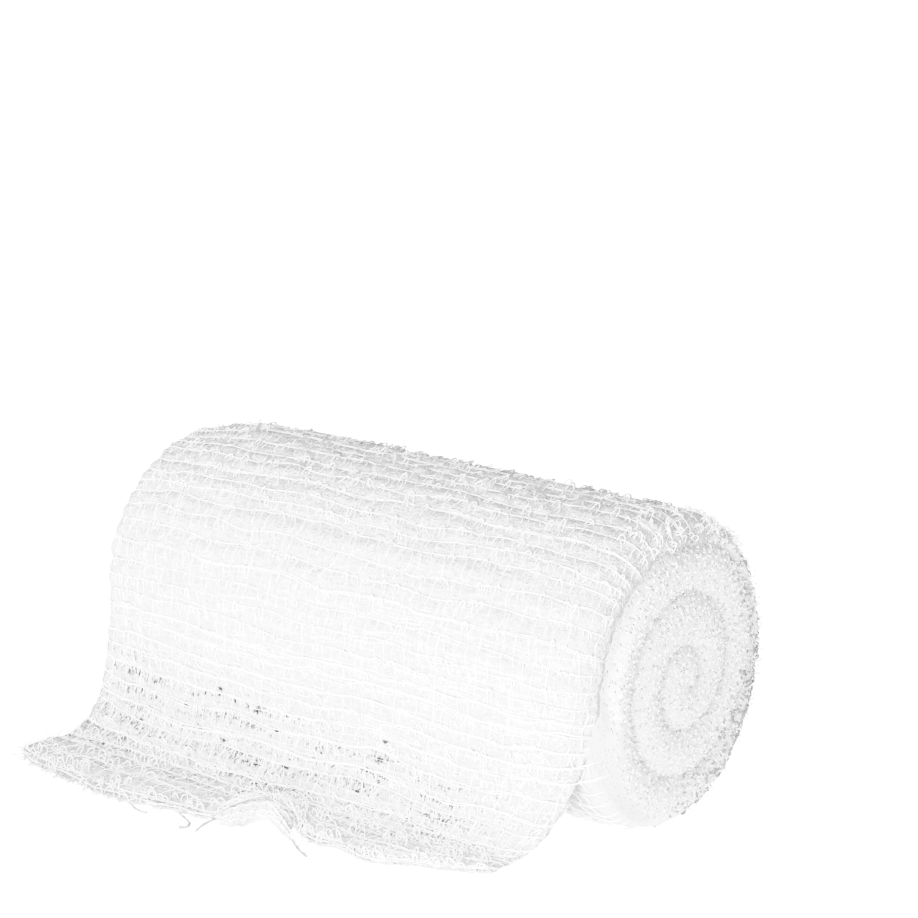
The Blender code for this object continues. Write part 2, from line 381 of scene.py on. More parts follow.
WEFTS = weft_lengths(np.random.default_rng(7))
CREST_LENGTH = LEAVE_LENGTH - 0.5 * math.pi * CORE_RADIUS
SHARE, GAP = between_wefts()
RELIEF = swelling()


def relief(length, across):
    """Height of the ground's swelling at places on the strip."""
    return sample(RELIEF[..., None], *on_strip(*np.broadcast_arrays(length, across)))[..., 0]


# ---------------------------------------------------------------- yarns

def link(item):
    bpy.context.scene.collection.objects.link(item)
    return item


def mesh_piece(name, bm, material):
    """The piece that a finished bmesh makes."""
    mesh = bpy.data.meshes.new(name)
    bm.to_mesh(mesh)
    bm.free()
    mesh.materials.append(material)
    mesh.shade_smooth()
    return link(bpy.data.objects.new(name, mesh))


def thicken(piece, thickness, offset):
    """Makes a sheet a shell: outwards with an offset of 1, inwards with -1."""
    shell = piece.modifiers.new("thickness", "SOLIDIFY")
    shell.thickness = thickness
    shell.offset = offset
    return piece


def mark(piece, name, values):
    """Keeps a value for each vertex, for the material to read."""
    piece.data.attributes.new(name, "FLOAT", "POINT").data.foreach_set("value", values)


def read_points(bm):
    return np.array([vert.co for vert in bm.verts])


def move_points(bm, points):
    for vert, point in zip(bm.verts, points):
        vert.co = point


def yarns(name, thickness, material, *kinds):
    """One mesh of round yarns of one or more kinds, each of them paths of points, of uneven thickness."""
    curve = bpy.data.curves.new(name, "CURVE")
    curve.dimensions = "3D"
    curve.bevel_depth = thickness / 2
    curve.bevel_resolution = 0
    curve.use_fill_caps = True
    for index, path in enumerate(chain(*kinds)):
        spline = curve.splines.new("POLY")
        spline.points.add(len(path) - 1)
        spline.points.foreach_set("co", np.c_[path, np.ones(len(path))].ravel())
        slub = 1.0 + 0.22 * np.sin(np.arange(len(path)) * 0.9 + 2.7 * index)
        spline.points.foreach_set("radius", slub)
    shape = link(bpy.data.objects.new(name + "_line", curve))
    mesh = bpy.data.meshes.new_from_object(shape.evaluated_get(bpy.context.evaluated_depsgraph_get()))
    bpy.data.objects.remove(shape)
    bpy.data.curves.remove(curve)
    mesh.name = name
    mesh.materials.clear()
    mesh.materials.append(material)
    mesh.shade_smooth()
    return link(bpy.data.objects.new(name, mesh))


def weft_turn(index, near, rng):
    """A weft turned back at a selvedge. The near turns on the roll are pressed into its end."""
    rim = ACROSS[-1] if near else ACROSS[0]
    t = np.linspace(0, 1, 6)[1:-1]
    this, following = (weft_line(each, np.array([rim]))[0] for each in (index, index + 1))
    bow = np.sin(math.pi * t)
    bulge = (rng.uniform(0.0, 0.35) if near else -rng.uniform(0.2, 0.9)) * MM * bow
    sunk = SUNK_YARNS if near and WEFTS[index + 1] < LEAVE_LENGTH + 3 * MM else 0.0
    lift = 0.1 * MM - sunk + 0.3 * MM * bow * rng.uniform(-1, 0.6)
    return place(this + (following - this) * ease(t), rim + bulge, lift)


def weft_paths(indices, rng):
    """The first strand of every weft as one serpentine, turned back at the selvedges."""
    low, high = ACROSS[0], ACROSS[-1]
    count = int((high - low) / WEFT_STEP)
    path = []
    for index in indices:
        inset = np.array([rng.uniform(-0.2, 0.6), rng.uniform(0.9, 2.0)]) * MM
        across = np.linspace(low + inset[0], high - inset[1], count)
        length = weft_line(index, across)
        points = place(length, across, weft_height(length, across))
        ends_near = index % 2 == 0
        path.append(points if ends_near else points[::-1])
        if index < indices[-1]:
            path.append(weft_turn(index, ends_near, rng))
    return [np.concatenate(path)]


def beside_paths(indices, rng, skip, apart):
    """Further strands of the wefts, which run beside the first and part from it here and there."""
    for index in indices:
        if rng.random() < skip:
            continue
        start, end = ACROSS[0] + rng.uniform(-0.6, 1) * MM, ACROSS[-1] + rng.uniform(-1, 0.6) * MM
        across = np.arange(start, end, WEFT_STEP)
        stray = noise_at(across / (8 * MM), index * 2.9 + apart, 4.0)
        beside = (0.26 * MM + apart * np.maximum(stray, -0.12)) * (1 if index % 3 else -1)
        length = weft_line(index, across) + beside
        above = np.maximum(weft_height(length, across) - 0.05 * MM, relief(length, across))
        yield place(length, across, above)


def fine_weft_paths(rng):
    """Thin strands of the ply beneath, half sunk in the ground, where it is drawn apart."""
    length = LEAVE_LENGTH - 12 * MM
    while length < CUT_LENGTH - 1 * MM:
        length += rng.uniform(0.8, 1.6) * MM
        start = rng.uniform(ACROSS[0], ACROSS[-1] - 20 * MM)
        across = np.arange(start, min(start + rng.uniform(15, 90) * MM, ACROSS[-1]), 1.5 * MM)
        wide = 1.3 * MM * patches(across, 11, length, 7, 61.0)
        fine = 0.3 * MM * noise_at(across / (2.7 * MM), length * 900, 3.0)
        line = length + wide + fine
        yield place(line, across, relief(line, across) + 0.03 * MM)


def warp_path(column, across, crossings, rng, tail):
    """A warp that comes up over each weft, lies on the ground below it and sinks in before the next one."""
    knots = np.maximum.accumulate(crossings + np.arange(len(crossings)) * 1e-6)
    spans = len(knots) - 1
    t = np.arange(WARP_STEPS) / WARP_STEPS
    lean = rng.normal(0, 0.5, spans) * MM
    shown = rng.uniform(0.3, 0.95, spans)
    over = np.where(rng.random(len(knots)) < 0.85, 0.6, 0.1) * MM
    over = over * rng.uniform(0.8, 1.3, len(knots))
    shift = 0.8 * MM * noise_at(knots / (7 * MM), column * 4.1, 2.0)
    away = ease(5 * t) * ease(5 - 5 * t)
    length = knots[:-1, None] + np.diff(knots)[:, None] * t
    place_x = across + shift[:-1, None] + np.diff(shift)[:, None] * ease(t)
    place_x = place_x + lean[:, None] * np.sin(math.pi * t)
    ends = over[:-1, None] + np.diff(over)[:, None] * ease(t)
    sunk = ease((t - shown[:, None]) / 0.2)
    slant = TOP_SLANT * ease((LEAVE_LENGTH - 6 * MM - length) / (22 * MM))
    place_x = place_x + slant * np.diff(knots)[:, None] * t * (1 - sunk) * away
    resting = relief(length, place_x) + (0.12 - 0.5 * sunk) * MM
    lift = ends * (1 - away) + resting * away - smoothed(length, place_x)
    length, place_x, lift = (np.append(value.ravel(), end) for value, end in
                             ((length, knots[-1]), (place_x, across + shift[-1]), (lift, over[-1])))
    if tail > 0:
        steps = np.linspace(0, 1, 5)[1:]
        length = np.append(length, knots[-1] + tail * steps)
        place_x = np.append(place_x, place_x[-1] + rng.uniform(-1.0, 1.0) * MM * steps ** 2)
        lift = np.append(lift, lift[-1] + rng.uniform(-0.5, 0.5) * MM * steps)
    return place(length, place_x, lift)


def warp_columns(rng):
    count = int(2 * HALF_WIDTH / WARP_PITCH)
    even = np.linspace(ACROSS[0] + 0.5 * MM, ACROSS[-1] - 2.4 * MM, count)
    return even + rng.uniform(-0.6, 0.6, count) * MM


def warp_paths(indices, rng, tail_share):
    columns = warp_columns(rng)
    crossings = np.stack([weft_line(index, columns) for index in indices])
    for column, across in enumerate(columns):
        tail = rng.uniform(0.2, 1.2) * MM if rng.random() < tail_share else 0.0
        yield warp_path(column, across, crossings[:, column], rng, tail)


def loop_path(line, across, flap, tall, rng):
    """One loop: its bend lies over a weft, its feet sink into the ground in front."""
    turn = np.linspace(0, math.pi, 8)
    arch = np.sin(turn) ** 0.7
    width = rng.uniform(0.3, 0.8) * MM * (1 + 0.45 * flap)
    reach = rng.uniform(0.8, 1.7) * (1 - 0.25 * flap) * MM
    x = across - width * np.cos(turn) + (rng.normal(0, 0.28) - 0.75 * flap) * MM * arch
    length = line + reach * (1 - arch) - rng.uniform(0.1, 0.5) * MM
    base = relief(length, x) + 0.05 * MM
    return place(length, x, base * (1 - arch) + tall * arch)


def loop_paths(indices, rng):
    """Small loops that the overtwisted warps throw up, thick on the part that lies on the floor."""
    for index in indices:
        flap = ease((WEFTS[index] - LAND_LENGTH + 10 * MM) / (10 * MM))
        hanging = ease((WEFTS[index] - LEAVE_LENGTH - 4 * MM) / (8 * MM))
        fuzzy = 0.45 * hump(WEFTS[index], CREST_LENGTH, 16 * MM)
        for row, share in ((0.0, 0.5 + 0.12 * hanging), (0.5, 0.42 * hanging)):
            columns = warp_columns(rng)
            columns = columns[rng.random(len(columns)) < share]
            foot = weft_line(index, columns) - row * WEFT_PITCH
            for across, line in zip(columns, foot):
                tall = rng.uniform(0.45, 0.95) * MM + (rng.random() < fuzzy) * rng.uniform(0.2, 0.9) * MM
                tall += flap * rng.uniform(0.1, 0.6) * MM + row * 0.5 * MM
                yield loop_path(line, across, flap, tall, rng)


def fringe_paths(rng):
    """Ends of warps and small curls that stick out along the cut edge."""
    t = np.linspace(0, 1, 6)
    for _ in range(FRINGE_ENDS):
        across = rng.uniform(ACROSS[0] + 0.3 * MM, ACROSS[-1] - 0.5 * MM)
        reach, sideways, curl = rng.uniform(0.2, 1.5) * MM, rng.normal(0, 0.8) * MM, rng.uniform(0.4, 1.6)
        length = CUT_LENGTH - 0.7 * MM + (reach + 0.7 * MM) * np.sin(curl * 0.5 * math.pi * t)
        yield place(length, across + sideways * t * t, (0.35 - 0.3 * t) * MM)


def crest_loop_paths(rng):
    """Loops and knots behind the crest, in cotton painted in shade, which make the top of the roll rough."""
    for _ in range(CREST_LOOPS):
        line = CREST_LENGTH - 9 * MM + rng.normal(0, 1.6) * MM
        across = rng.uniform(ACROSS[0] + 5 * MM, ACROSS[-1] - 9 * MM)
        yield loop_path(line, across, rng.uniform(-0.8, 1.0), rng.uniform(0.5, 1.3) * MM, rng)


def rim_loop_paths(rng):
    """Loops that stand up along the near selvedge where it turns over the top of the roll."""
    turn = np.linspace(0, math.pi, 8)
    for _ in range(RIM_LOOPS):
        line = CREST_LENGTH + rng.uniform(-24, 9) * MM
        across = HALF_WIDTH - rng.uniform(0.0, 8.0) * MM
        width, tall = rng.uniform(0.2, 0.6) * MM, rng.uniform(0.6, 1.3) * MM
        lean, along = rng.normal(0, 0.5, 2) * MM
        arch = np.sin(turn)
        x = np.minimum(across - width * np.cos(turn) + lean * arch, HALF_WIDTH + 0.4 * MM)
        yield place(line + along * arch, x, 0.2 * MM + tall * arch)


def lint_paths(rng):
    """Short fine hairs of cotton that lie on the ground every way."""
    t = np.linspace(-1, 1, 4)
    for _ in range(LINT_HAIRS):
        line, across = rng.uniform(0.0, CUT_LENGTH), rng.uniform(ACROSS[0], ACROSS[-1])
        way, reach, bend = rng.uniform(0, math.pi), rng.uniform(0.5, 1.5) * MM, rng.normal(0, 0.5) * MM
        length = line + math.sin(way) * reach * t + math.cos(way) * bend * t * t
        x = np.clip(across + math.cos(way) * reach * t - math.sin(way) * bend * t * t, ACROSS[0], ACROSS[-1])
        yield place(length, x, relief(length, x) + rng.uniform(0.02, 0.25) * MM * (1 - 0.8 * t * t))


def strand(points, waver, rng):
    """A loose thread through a few points, in millimetres, made smooth and a little wavy."""
    points = np.array(points) * MM
    t = np.linspace(0, len(points) - 1, 4 * len(points))
    smooth = np.stack([np.interp(t, np.arange(len(points)), points[:, axis]) for axis in range(3)], axis=1)
    smooth[1:-1] = (smooth[:-2] + 2 * smooth[1:-1] + smooth[2:]) / 4
    smooth += rng.normal(0, waver, smooth.shape) * MM
    smooth[:, 2] = np.maximum(smooth[:, 2], 0.15 * MM)
    return smooth


def notch_threads(rng):
    """The twisted end beside the notch."""
    drawn_out = [(-2.7, -43.2, 3.4), (-1.3, -43.1, 2.6), (1.0, -44.5, 2.0), (4.3, -46.2, 1.4),
                 (8.2, -48.2, 0.8), (11.1, -49.5, 0.5), (13.7, -50.8, 0.3)]
    short = [(-2.0, -42.5, 3.5), (0.6, -43.6, 2.6), (3.4, -44.8, 1.9), (6.6, -46.6, 1.1), (9.6, -48.6, 0.5)]
    paths = [strand(points, 0.05, rng) for points in (drawn_out, short)]
    paths += [strand([(x + 0.35, y + 0.6, z + 0.2) for x, y, z in drawn_out[:6]], 0.1, rng)]
    return paths


def edge_threads(rng):
    """Threads that have come away from the cut edge."""
    hooked = [(-17.4, -51.0, 1.2), (-15.4, -51.9, 0.9), (-13.2, -52.6, 0.7), (-10.9, -53.4, 0.5),
              (-10.0, -54.9, 0.4), (-11.2, -55.9, 0.3)]
    slanted = [(-5.6, -47.4, 2.2), (-6.6, -49.0, 1.2), (-8.0, -51.0, 0.9), (-8.4, -53.2, 0.5),
               (-7.9, -55.2, 0.3)]
    spare = [(-26.5, -53.2, 0.9), (-25.0, -54.0, 0.6), (-22.5, -54.8, 0.4), (-20.4, -54.6, 0.3)]
    tip = [(8.4, -48.4, 0.6), (10.4, -49.6, 0.4), (12.2, -50.6, 0.3), (14.4, -51.5, 0.25)]
    return [strand(points, 0.04, rng) for points in (hooked, slanted, spare, tip)]


# ---------------------------------------------------------------- materials

def grey(level):
    return (level, level, level, 1.0)


def feed(tree, target, inputs):
    """Gives a node its inputs, each as a value or as the socket that it follows."""
    for label, value in inputs.items():
        if isinstance(value, bpy.types.NodeSocket):
            tree.links.new(value, target.inputs[label])
        else:
            target.inputs[label].default_value = value


def node(tree, kind, inputs, **settings):
    """A new node with its settings and its inputs."""
    made = tree.nodes.new("ShaderNode" + kind)
    for label, value in settings.items():
        setattr(made, label, value)
    feed(tree, made, inputs)
    return made


def maths(tree, operation, *values):
    return node(tree, "Math", dict(enumerate(values)), operation=operation).outputs[0]


def remap(tree, value, low, high, to_low=0.0, to_high=1.0, kind="LINEAR"):
    """The stretch from low to high laid on another one, and held at its ends."""
    stretch = {"Value": value, "From Min": low, "From Max": high, "To Min": to_low, "To Max": to_high}
    return node(tree, "MapRange", stretch, interpolation_type=kind).outputs["Result"]


def mix_colours(tree, share, first, second, blend="MIX"):
    """Two colours mixed; a Mix node for colours takes them as its inputs 6 and 7 and gives its output 2."""
    return node(tree, "Mix", {0: share, 6: first, 7: second}, data_type="RGBA", blend_type=blend).outputs[2]


def bump(tree, height, strength, distance):
    given = {"Height": height, "Strength": strength, "Distance": distance}
    return node(tree, "Bump", given).outputs["Normal"]


def mesh_value(tree, name):
    """A value that the mesh keeps for each vertex."""
    return node(tree, "Attribute", {}, attribute_name=name).outputs["Fac"]


def coordinates(tree, kind):
    """Where a shaded point lies: its Object coordinates, say."""
    return node(tree, "TexCoord", {}).outputs[kind]


def new_group(name, inputs):
    """An empty node group with named inputs, and the sockets that carry them."""
    group = bpy.data.node_groups.new(name, "ShaderNodeTree")
    for label, value in inputs.items():
        socket = group.interface.new_socket(label, in_out="INPUT", socket_type="NodeSocketFloat")
        socket.default_value = value
    return group, group.nodes.new("NodeGroupInput").outputs


def finish_group(group, outputs):
    """Gives a node group its named outputs."""
    for label in outputs:
        kind = "NodeSocketVector" if label == "Normal" else "NodeSocketFloat"
        group.interface.new_socket(label, in_out="OUTPUT", socket_type=kind)
    feed(group, group.nodes.new("NodeGroupOutput"), outputs)
    return group


def fibre_group():
    """Cotton fibre: fine fuzz for the bump and a soft blotchy shade."""
    group, given = new_group("cotton_fibre", {"Scale": 2600.0, "Depth": 0.4, "Blotch": 180.0})
    where = coordinates(group, "Object")
    fuzz = node(group, "TexNoise", {"Vector": where, "Scale": given["Scale"], "Detail": 3.0}).outputs["Fac"]
    soft = node(group, "TexNoise", {"Vector": where, "Scale": given["Blotch"]}).outputs["Fac"]
    return finish_group(group, {"Shade": soft, "Normal": bump(group, fuzz, given["Depth"], 0.1 * MM)})


def streaks(tree, along_x, along_rest, seed):
    """Noise drawn out along the wefts, which lie along X, or along the warps."""
    turn = node(tree, "Mapping", {"Vector": coordinates(tree, "Object"), "Location": (seed, seed, seed),
                                  "Scale": (1 / along_x, 1 / along_rest, 1 / along_rest)})
    return node(tree, "TexNoise", {"Vector": turn.outputs["Vector"], "Scale": 1.0, "Detail": 2.0,
                                   "Distortion": 0.6}).outputs["Fac"]


def ply_group():
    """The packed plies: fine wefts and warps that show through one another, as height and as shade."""
    group, given = new_group("packed_plies", {"Depth": 1.0})
    weft = streaks(group, 3.2 * MM, 0.42 * MM, 0.0)
    warp = streaks(group, 0.45 * MM, 2.4 * MM, 7.0)
    fluff = streaks(group, 0.5 * MM, 0.5 * MM, 13.0)
    height = maths(group, "MULTIPLY_ADD", fluff, 0.6, maths(group, "MAXIMUM", weft, warp))
    return finish_group(group, {"Shade": remap(group, height, 0.68, 1.02),
                                "Normal": bump(group, height, given["Depth"], 0.5 * MM)})


def pitted_group():
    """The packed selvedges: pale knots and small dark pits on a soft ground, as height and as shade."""
    group, given = new_group("pitted_selvedges", {"Depth": 1.0})
    cells = node(group, "TexVoronoi", {"Vector": coordinates(group, "Object"), "Scale": 1 / (0.9 * MM)})
    knots = remap(group, cells.outputs["Distance"], 0.34, 0.12, 0.0, 0.75, "SMOOTHSTEP")
    fine = streaks(group, 0.45 * MM, 0.5 * MM, 3.0)
    soft = streaks(group, 1.9 * MM, 1.4 * MM, 5.0)
    # The pits darken the colour: painted shade in the hollows between the curls.
    pits = remap(group, streaks(group, 0.9 * MM, 0.55 * MM, 9.0), 0.28, 0.36)
    height = maths(group, "ADD", maths(group, "MULTIPLY_ADD", fine, 0.7, soft), knots)
    return finish_group(group, {"Shade": maths(group, "MULTIPLY", remap(group, height, 0.55, 1.5), pits),
                                "Normal": bump(group, height, given["Depth"], 0.4 * MM)})


GAP_LEVEL = 0.86                  # noise above this is a gap where the plies are closed
OPEN_GAPS = -0.31                 # by how much the level changes where they are fully open
# painted shade of a dark gap, for the shadowed hollow seen through it
GAP_SHADE = 0.42


def gap_group():
    """Gaps between the threads where the plies have drawn apart: dark ones, painted shade of the hollow
    behind them, and clear ones within them. Open plies are painted a little darker, as shade seen through
    them.
    """
    group, given = new_group("open_gaps_with_painted_shade", {"Openness": 0.0})
    slits = streaks(group, 0.48 * MM, 0.74 * MM, 23.0)
    level = maths(group, "MULTIPLY_ADD", given["Openness"], OPEN_GAPS, GAP_LEVEL)
    above = maths(group, "SUBTRACT", slits, level)
    dark = remap(group, above, -0.03, 0.05, 1.0, GAP_SHADE)
    thin = remap(group, given["Openness"], 0.0, 1.0, 1.0, 0.96)
    return finish_group(group, {"Shade": maths(group, "MULTIPLY", dark, thin),
                                "Alpha": maths(group, "LESS_THAN", above, 0.1)})


def press(material, pressed_shade_colour, sunk_shade):
    """Painted shade, in a smooth colour, where the mesh says the cloth is pressed flat, whose relief is made
    shallower there, and painted shade in its sunken grooves.
    """
    tree = material.node_tree
    shader = tree.nodes["Principled BSDF"]
    plain = shader.inputs["Base Color"].links[0].from_socket
    surface = shader.inputs["Normal"].links[0].from_node
    pressed = mesh_value(tree, "pressed")
    smooth = mix_colours(tree, pressed, plain, grey(pressed_shade_colour))
    shaded = mix_colours(tree, mesh_value(tree, "sunk"), smooth, grey(sunk_shade), "MULTIPLY")
    feed(tree, surface, {"Depth": maths(tree, "MULTIPLY_ADD", pressed, -0.5, 1.0)})
    feed(tree, shader, {"Base Color": shaded})


def open_up(material):
    """Gives a material clear gaps, and dark ones painted in shade, where its mesh says that the plies have
    drawn apart.
    """
    tree = material.node_tree
    shader = tree.nodes["Principled BSDF"]
    plain = shader.inputs["Base Color"].links[0].from_socket
    gaps = node(tree, "Group", {"Openness": mesh_value(tree, "openness")}, node_tree=gap_group()).outputs
    feed(tree, shader, {"Base Color": mix_colours(tree, 1.0, plain, gaps["Shade"], "MULTIPLY"),
                        "Alpha": gaps["Alpha"]})


def white_cotton(name, group, depth, light, dark, glow):
    """White cotton in two close shades, some of it with a faint glow: painted light that lifts it out of its
    shade.
    """
    material = bpy.data.materials.new(name)
    material.use_nodes = True
    tree = material.node_tree
    surface = node(tree, "Group", {"Depth": depth}, node_tree=group).outputs
    feed(tree, tree.nodes["Principled BSDF"], {
        "Base Color": mix_colours(tree, surface["Shade"], grey(dark), grey(light)),
        "Normal": surface["Normal"], "Roughness": 0.92, "Sheen Weight": 0.2, "Sheen Roughness": 0.5,
        "Emission Color": grey(1.0), "Emission Strength": glow})
    return material


FIBRE = fibre_group()
PLIES = ply_group()
# Each has the depth of its relief, its light and its dark shade, and its glow, which is painted light
YARN_COTTON = white_cotton("yarn_cotton", FIBRE, 0.3, 0.98, 0.93, 0.17)
# The ground is darker than the yarns, partly as painted shade of the plies beneath them; the lower plies, a
# little less light, are painted shade under the lifted edge
GROUND_COTTON = white_cotton("ground_cotton", PLIES, 1.0, 0.93, 0.68, 0.0)
LOWER_COTTON = white_cotton("lower_cotton", PLIES, 1.0, 0.9, 0.72, 0.0)
# Darker copies of the cotton are painted shade: for the fringe on the cut edge, the loops behind the crest,
# and threads and knots that lie in shade
FRINGE_SHADE_COTTON = white_cotton("fringe_shade_cotton", FIBRE, 0.3, 0.9, 0.7, 0.0)
CREST_SHADE_COTTON = white_cotton("crest_shade_cotton", FIBRE, 0.3, 0.8, 0.6, 0.0)
SHADED_COTTON = white_cotton("shaded_cotton", FIBRE, 0.3, 0.62, 0.4, 0.0)
PACKED_COTTON = white_cotton("packed_cotton", pitted_group(), 1.0, 1.0, 0.84, 0.0)
CURL_COTTON = white_cotton("curl_cotton", FIBRE, 0.3, 1.0, 0.95, 0.15)
open_up(GROUND_COTTON)
press(PACKED_COTTON, pressed_shade_colour=0.72, sunk_shade=0.87)


# ---------------------------------------------------------------- ground and body

def openness(length, across):
    """How far the plies have drawn apart: nothing on the roll, most towards the foot of the hanging part."""
    start = LEAVE_LENGTH + 7.2 * MM + 3.4 * MM * across / HALF_WIDTH
    level = ease((length - start) / (9 * MM)) * (1 - 0.3 * ease((length - LAND_LENGTH) / (8 * MM)))
    patchy = np.clip(0.92 + 0.4 * patches(across, 13, length, 9, 77.0), 0.0, 1.2)
    return level * patchy * (0.45 + 0.55 * ease((58 * MM - across) / (24 * MM)))


TOP_GAP_SHADE = 0.6                # openness of the plies on top of the roll, which paints dark slits of shade between the yarns there, with a few clear gaps


def gap_share(length, across):
    """The openness where gaps show: just below each weft, and little above the next. On top of the roll it
    also paints dark slits of shade.
    """
    share = sample(SHARE[..., None], length, across)[..., 0]
    behind_crest = ease((length - CREST_LENGTH + 18 * MM) / (6 * MM))
    on_top = TOP_GAP_SHADE * behind_crest * ease((CREST_LENGTH + 12 * MM - length) / (12 * MM))
    return (openness(length, across) + on_top) * (0.5 + 0.5 * ease(share / 0.12) * ease((0.75 - share) / 0.3))


def hole_faces(bm, rng):
    """Small holes, most of them right beside a weft."""
    centres = np.array([face.calc_center_median() for face in bm.faces])
    length, across = centres[:, 0], centres[:, 1]
    open_here = openness(length, across) * ease((LAND_LENGTH + 6 * MM - length) / (6 * MM))
    low = relief(length, across) < 0.35 * PUFF
    chance = HOLE_SHARE * open_here ** 1.5 * np.where(low, 1.0, 0.12)
    taken = rng.random(len(centres)) < chance
    return [face for face, hole in zip(bm.faces, taken) if hole]


def loose_ground():
    """The ground of the loose turn: a thin shell drawn in at the wefts, with ragged edges and small holes."""
    length, across = np.meshgrid(LENGTH[SEAM_ROW:], ACROSS, indexing="ij")
    steps = np.array(length.shape) - 1
    bm = bmesh.new()
    bmesh.ops.create_grid(bm, x_segments=int(steps[0]), y_segments=int(steps[1]), size=1.0)
    row, column = np.rint((read_points(bm)[:, :2] + 1) / 2 * steps).astype(int).T
    length, across = length[row, column], across[row, column]
    rag = 0.45 * MM * (patches(length, 1.6, across, 20, 51.0) - 0.5)
    across = across + np.sign(across) * rag * towards_edge(np.abs(across), 4, 4)
    frayed = 1.3 * MM * (noise_at(across / (2.1 * MM), 7.0, 52.0) - 0.05)
    blunted = 1.6 * MM * towards_edge(-across, 5, 5) ** 2
    length = length + (frayed - blunted) * ease((length - CUT_LENGTH + 5 * MM) / (5 * MM))
    move_points(bm, xyz(length, across, 0.0))
    bmesh.ops.delete(bm, geom=hole_faces(bm, np.random.default_rng(12)), context="FACES")
    length, across = read_points(bm)[:, :2].T
    shown_gaps = gap_share(*on_strip(length, across))
    open_here = np.minimum(2 * openness(length, across), 1) * (np.abs(across) < HALF_WIDTH - 1 * MM)
    jitter = np.random.default_rng(13).uniform(-0.5, 0.5, (len(length), 2)) * (0.22 * MM, 0.45 * MM)
    length, across = length + jitter[:, 0] * open_here, across + jitter[:, 1] * open_here
    move_points(bm, place(length, across, relief(length, across) - GROUND_WALL))
    bmesh.ops.recalc_face_normals(bm, faces=bm.faces)
    piece = mesh_piece("loose_ground", bm, GROUND_COTTON)
    mark(piece, "openness", shown_gaps)
    return thicken(piece, GROUND_WALL, 1.0)


NOTCH = (  # where the lower plies come out below the lifted edge: x, y, z of the edge, then x, y on the floor
    (-8.3, -50.6, 0.7, -8.0, -50.0), (-7.3, -49.2, 1.5, -7.0, -50.3), (-6.4, -47.9, 2.3, -5.7, -50.3),
    (-5.3, -46.7, 3.0, -4.2, -49.8), (-4.2, -45.8, 3.4, -2.7, -48.7), (-2.8, -44.5, 3.5, -2.7, -47.0),
    (-1.4, -43.3, 3.5, -2.5, -45.2), (0.2, -42.9, 3.1, -1.2, -43.6), (2.0, -43.0, 2.5, 1.2, -44.6),
    (3.6, -43.3, 2.0, 4.2, -46.4), (5.4, -44.8, 1.2, 7.6, -47.9))


def notch_point(at, down, lift):
    """A point of the lower plies, along the lifted edge and down from it."""
    table = np.array(NOTCH) * MM
    x0, y0, z0, x1, y1 = (np.interp(at, np.arange(len(NOTCH)), table[:, item]) for item in range(5))
    swell = 0.5 * MM * math.sin(math.pi * down) + 0.2 * MM * noise.noise(Vector((at * 2, down * 3, 2))) + lift
    return (x0 + (x1 - x0) * down, y0 + 0.5 * MM * (1 - down) ** 2 + (y1 - y0) * down - swell,
            max((z0 + 0.3 * MM) * (1 - down) ** 1.3 + 0.5 * swell, 0.1 * MM))


def lower_paths(rng):
    """Yarns of the lower plies: wefts that follow the lifted edge, and warps down from it."""
    last = len(NOTCH) - 1
    paths = [np.array([notch_point(at, down + 0.04 * math.sin(5 * at), 0.1 * MM)
                       for at in np.arange(0.3, last - 0.5, 0.25)]) for down in (0.12, 0.4, 0.62, 0.93)]
    for at in np.arange(0.6, last - 1.0, 0.55):
        first, reach = rng.uniform(0.0, 0.5), rng.uniform(0.3, 0.45)
        sideways = rng.normal(0, 0.25)
        paths.append(np.array([notch_point(at + sideways * t, first + reach * t, 0.15 * MM)
                               for t in np.linspace(0, 1, 5)]))
    return paths


def notch_ply():
    """The lower plies, smooth and light, that show under the lifted edge."""
    bm = bmesh.new()
    bmesh.ops.create_grid(bm, x_segments=len(NOTCH) * 4, y_segments=9, size=1.0)
    for vert in bm.verts:
        vert.co = notch_point((vert.co.x + 1) / 2 * (len(NOTCH) - 1), (1 - vert.co.y) / 2, 0.0)
    bmesh.ops.recalc_face_normals(bm, faces=bm.faces)
    if sum(face.normal.y for face in bm.faces) > 0:
        bmesh.ops.reverse_faces(bm, faces=bm.faces)
    return thicken(mesh_piece("loose_lower_plies", bm, LOWER_COTTON), 0.25 * MM, -1.0)


def spiral_relief(radius, angle, start, direction):
    wander = SPIRAL_WANDER * np.sin(angle - 2.3) * ease(radius / CORE_RADIUS)
    turn = (radius - start + wander) / SPIRAL_PITCH - direction * angle / math.tau
    crown = np.abs(np.sin(math.pi * turn)) ** 0.55
    fade = ease(radius / (3 * MM)) * ease((CORE_RADIUS - radius) / (4 * MM))
    return (1.0 - crown) * fade


def rim_of(angle, near):
    return np.where(near, rim_radius(angle), RIM)


def wrap_angle(angle):
    return np.mod(angle + math.pi, math.tau) - math.pi


GROOVE_TURN = math.radians(21)    # the groove beside the strip's near selvedge, measured round the rim
GROOVE_SPREAD = math.radians(14)
GROOVE_DEPTH = 0.8 * MM
TOP_VALLEY = 1.2 * MM             # the dip between the top of the near rim and the face below it
TOP_VALLEY_ANGLE = math.radians(92)
TOP_VALLEY_SPAN = math.radians(48)
CURL_ROW_PITCH = 1.15 * MM        # the curls of the turned selvedges on both ends
CURL_PITCH = 1.0 * MM


def end_stand(radius, angle, near, outer):
    """How far an end reaches along the axis: domed, with the spiral groove, and rounded off at the rim."""
    start, direction = (NEAR_SPIRAL_START, 1) if near else (FAR_SPIRAL_START, -1)
    rim = rim_of(angle, near)
    over = np.clip(radius - outer + rim, 0.0, rim)
    dome = FACE_BULGE * (1.0 - (radius / CORE_RADIUS) ** 2)
    if near:
        beside_top = hump(angle, TOP_VALLEY_ANGLE, TOP_VALLEY_SPAN)
        dome = dome - TOP_VALLEY * beside_top * ease(1 - np.abs(radius - outer + 3.4 * MM) / (2.0 * MM))
    grooved = SPIRAL_DEPTH * spiral_relief(radius, angle, start, direction)
    rounded = rim - np.sqrt(np.maximum(rim ** 2 - over ** 2, 0.0))
    return HALF_WIDTH - rounded + (dome - grooved) * (1.0 - ease(over / rim) ** 2)


